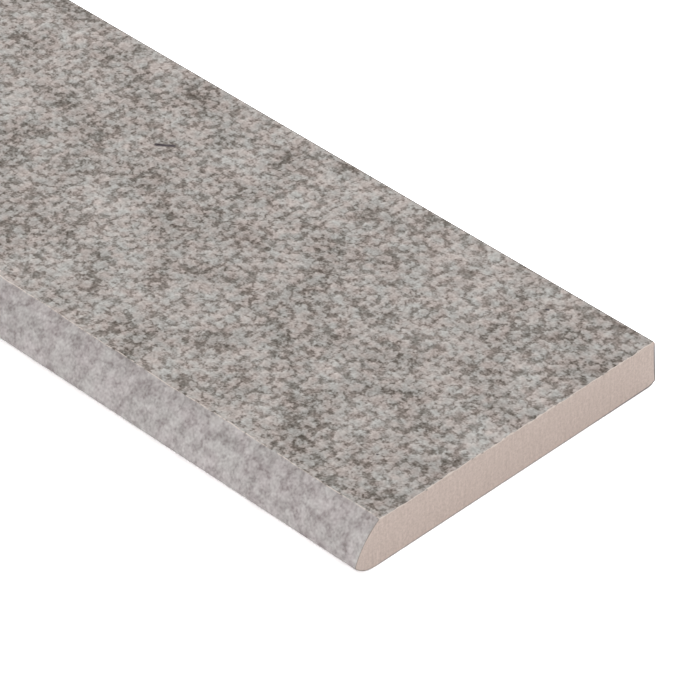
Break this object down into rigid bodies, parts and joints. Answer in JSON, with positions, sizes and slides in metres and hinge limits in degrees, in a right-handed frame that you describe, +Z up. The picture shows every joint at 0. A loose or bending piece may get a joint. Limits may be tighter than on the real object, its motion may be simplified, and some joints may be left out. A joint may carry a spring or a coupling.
{
  "type": "bullnose tile",
  "caption": "Long narrow porcelain trim tile with one long edge rounded over to a bullnose, a flat matte top, an eased back edge and sawn ends.",
  "frame": {"origin": "bottom centre of the bounding box, on the underside half way along and across the tile", "axes": "+X along the tile, +Z up out of the flat top, -Y the way the rounded nose points"},
  "size_m": [0.6, 0.075, 0.01],
  "materials": {
    "glazed_porcelain": "matte glaze speckled like granite on the top and nose, bare fired body on the ends, back and underside"
  },
  "bodies": {
    "root": {"bullnose_tile": "glazed_porcelain"}
  },
  "joints": []
}
